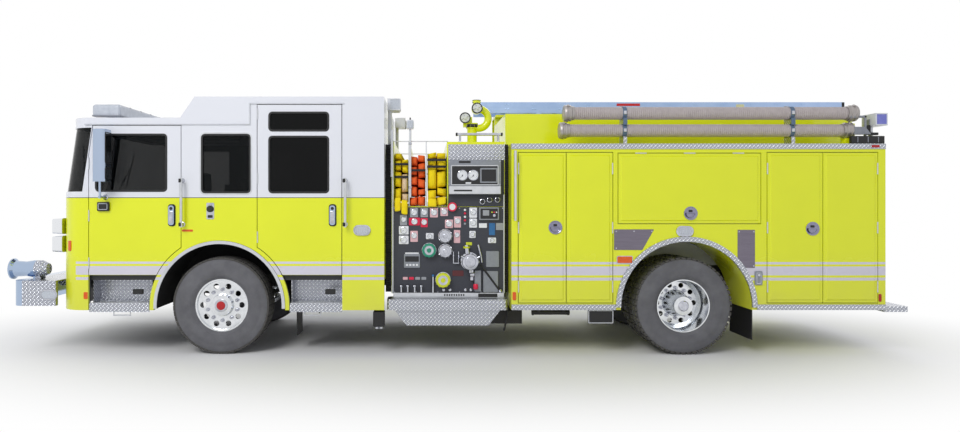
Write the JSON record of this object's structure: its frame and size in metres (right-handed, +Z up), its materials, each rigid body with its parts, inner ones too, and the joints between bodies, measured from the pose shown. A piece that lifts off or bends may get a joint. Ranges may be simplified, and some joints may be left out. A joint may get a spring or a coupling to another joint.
{
  "type": "fire engine",
  "caption": "Custom-cab pumper fire engine with crew doors, side pump panel, body compartments, hose bed, deck gun, suction hoses and ladder; wheels roll and steer, doors open.",
  "frame": {"origin": "centre of the bounding box on the ground", "axes": "+Z up, the vehicle's front points along -X, its left side faces -Y"},
  "size_m": [10.146, 2.92, 2.969],
  "materials": {
    "lime_paint": "gloss",
    "chassis_black": "satin",
    "cast_metal": "matte",
    "tyre": "matte",
    "polished_aluminium": "polished",
    "tread_plate": "brushed",
    "chrome": "mirror",
    "glass": "clear",
    "interior": "matte",
    "floor": "matte",
    "lamp": "gloss",
    "lightbar": "gloss",
    "panel": "satin",
    "hose_fabric": "woven",
    "tank": "matte",
    "suction_rubber": "matte",
    "flap": "matte"
  },
  "bodies": {
    "vehicle": {"chassis_frame": "chassis_black", "engine": "cast_metal", "axles": "cast_metal", "cab_front": "lime_paint", "cab_walls": "lime_paint", "cab_roof": "lime_paint", "cab_floor": "floor", "cab_glass": "glass", "cab_interior": "interior", "grille": "chrome", "bumper": "chrome", "lamps": "lamp", "lightbar": "lightbar", "steps": "tread_plate", "pump_house": "lime_paint", "pump_panels": "panel", "pump_fittings": "chrome", "crosslay_hoses": "hose_fabric", "body_left": "lime_paint", "body_right": "lime_paint", "water_tank": "tank", "hosebed": "lime_paint", "suction_hoses": "suction_rubber", "ladder": "polished_aluminium", "body_trim": "tread_plate", "grab_rails": "polished_aluminium", "under_tanks": "chassis_black", "mud_flaps": "flap"},
    "knuckle_left": {"knuckle_left": "cast_metal"},
    "front_wheel_left": {"front_tyre_left": "tyre", "front_rim_left": "polished_aluminium"},
    "rear_wheels_left": {"rear_tyres_left": "tyre", "rear_rims_left": "polished_aluminium"},
    "front_door_left": {"front_door_left": "lime_paint", "front_glass_left": "glass"},
    "crew_door_left": {"crew_door_left": "lime_paint", "crew_glass_left": "glass"},
    "front_leaf_a_left": {"front_leaf_a_left": "lime_paint"},
    "front_leaf_b_left": {"front_leaf_b_left": "lime_paint"},
    "rear_leaf_a_left": {"rear_leaf_a_left": "lime_paint"},
    "rear_leaf_b_left": {"rear_leaf_b_left": "lime_paint"},
    "lift_door_middle_left": {"lift_door_middle_left": "lime_paint"},
    "knuckle_right": {"knuckle_right": "cast_metal"},
    "front_wheel_right": {"front_tyre_right": "tyre", "front_rim_right": "polished_aluminium"},
    "rear_wheels_right": {"rear_tyres_right": "tyre", "rear_rims_right": "polished_aluminium"},
    "front_door_right": {"front_door_right": "lime_paint", "front_glass_right": "glass"},
    "crew_door_right": {"crew_door_right": "lime_paint", "crew_glass_right": "glass"},
    "front_leaf_a_right": {"front_leaf_a_right": "lime_paint"},
    "front_leaf_b_right": {"front_leaf_b_right": "lime_paint"},
    "rear_leaf_a_right": {"rear_leaf_a_right": "lime_paint"},
    "rear_leaf_b_right": {"rear_leaf_b_right": "lime_paint"},
    "lift_door_middle_right": {"lift_door_middle_right": "lime_paint"},
    "rear_door": {"rear_door": "lime_paint"},
    "gun_base": {"gun_base": "lime_paint"},
    "gun_barrel": {"gun_barrel": "lime_paint"}
  },
  "joints": [
    {"name": "steer_left", "type": "hinge", "parent": "vehicle", "child": "knuckle_left", "pos_m": [-2.673, -0.925, 0.525], "axis": [0, 0, 1], "range_deg": [-32, 32]},
    {"name": "front_wheel_left_spin", "type": "hinge", "parent": "knuckle_left", "child": "front_wheel_left", "pos_m": [-2.673, -1.015, 0.525], "axis": [0, 1, 0], "continuous": true},
    {"name": "rear_wheels_left_spin", "type": "hinge", "parent": "vehicle", "child": "rear_wheels_left", "pos_m": [2.324, -0.9, 0.525], "axis": [0, 1, 0], "continuous": true},
    {"name": "front_door_left_hinge", "type": "hinge", "parent": "vehicle", "child": "front_door_left", "pos_m": [-4.073, -1.22, 1.6], "axis": [0, 0, -1], "range_deg": [0, 80]},
    {"name": "crew_door_left_hinge", "type": "hinge", "parent": "vehicle", "child": "crew_door_left", "pos_m": [-2.263, -1.22, 1.7], "axis": [0, 0, -1], "range_deg": [0, 85]},
    {"name": "front_leaf_a_left_hinge", "type": "hinge", "parent": "vehicle", "child": "front_leaf_a_left", "pos_m": [0.535, -1.27, 1.373], "axis": [0, 0, -1], "range_deg": [0, 90]},
    {"name": "front_leaf_b_left_hinge", "type": "hinge", "parent": "vehicle", "child": "front_leaf_b_left", "pos_m": [1.537, -1.27, 1.373], "axis": [0, 0, 1], "range_deg": [0, 90]},
    {"name": "rear_leaf_a_left_hinge", "type": "hinge", "parent": "vehicle", "child": "rear_leaf_a_left", "pos_m": [3.19, -1.27, 1.373], "axis": [0, 0, -1], "range_deg": [0, 90]},
    {"name": "rear_leaf_b_left_hinge", "type": "hinge", "parent": "vehicle", "child": "rear_leaf_b_left", "pos_m": [4.364, -1.27, 1.373], "axis": [0, 0, 1], "range_deg": [0, 90]},
    {"name": "lift_door_middle_left_hinge", "type": "hinge", "parent": "vehicle", "child": "lift_door_middle_left", "pos_m": [2.358, -1.27, 2.165], "axis": [-1, 0, 0], "range_deg": [0, 90]},
    {"name": "steer_right", "type": "hinge", "parent": "vehicle", "child": "knuckle_right", "pos_m": [-2.673, 0.925, 0.525], "axis": [0, 0, 1], "range_deg": [-32, 32]},
    {"name": "front_wheel_right_spin", "type": "hinge", "parent": "knuckle_right", "child": "front_wheel_right", "pos_m": [-2.673, 1.015, 0.525], "axis": [0, 1, 0], "continuous": true},
    {"name": "rear_wheels_right_spin", "type": "hinge", "parent": "vehicle", "child": "rear_wheels_right", "pos_m": [2.324, 0.9, 0.525], "axis": [0, 1, 0], "continuous": true},
    {"name": "front_door_right_hinge", "type": "hinge", "parent": "vehicle", "child": "front_door_right", "pos_m": [-4.073, 1.22, 1.6], "axis": [0, 0, 1], "range_deg": [0, 80]},
    {"name": "crew_door_right_hinge", "type": "hinge", "parent": "vehicle", "child": "crew_door_right", "pos_m": [-2.263, 1.22, 1.7], "axis": [0, 0, 1], "range_deg": [0, 85]},
    {"name": "front_leaf_a_right_hinge", "type": "hinge", "parent": "vehicle", "child": "front_leaf_a_right", "pos_m": [0.535, 1.27, 1.373], "axis": [0, 0, 1], "range_deg": [0, 90]},
    {"name": "front_leaf_b_right_hinge", "type": "hinge", "parent": "vehicle", "child": "front_leaf_b_right", "pos_m": [1.537, 1.27, 1.373], "axis": [0, 0, -1], "range_deg": [0, 90]},
    {"name": "rear_leaf_a_right_hinge", "type": "hinge", "parent": "vehicle", "child": "rear_leaf_a_right", "pos_m": [3.19, 1.27, 1.373], "axis": [0, 0, 1], "range_deg": [0, 90]},
    {"name": "rear_leaf_b_right_hinge", "type": "hinge", "parent": "vehicle", "child": "rear_leaf_b_right", "pos_m": [4.364, 1.27, 1.373], "axis": [0, 0, -1], "range_deg": [0, 90]},
    {"name": "lift_door_middle_right_hinge", "type": "hinge", "parent": "vehicle", "child": "lift_door_middle_right", "pos_m": [2.358, 1.27, 2.165], "axis": [1, 0, 0], "range_deg": [0, 90]},
    {"name": "rear_door_hinge", "type": "hinge", "parent": "vehicle", "child": "rear_door", "pos_m": [4.45, 0, 1.7], "axis": [0, -1, 0], "range_deg": [0, 90]},
    {"name": "gun_swivel", "type": "hinge", "parent": "vehicle", "child": "gun_base", "pos_m": [0.117, 0, 2.56], "axis": [0, 0, 1], "continuous": true},
    {"name": "gun_elevate", "type": "hinge", "parent": "gun_base", "child": "gun_barrel", "pos_m": [0.174, 0, 2.805], "axis": [0, -1, 0], "range_deg": [0, 100]}
  ],
  "couplings": [
    {"joint": "steer_right", "follows": "steer_left", "ratio": 1}
  ]
}
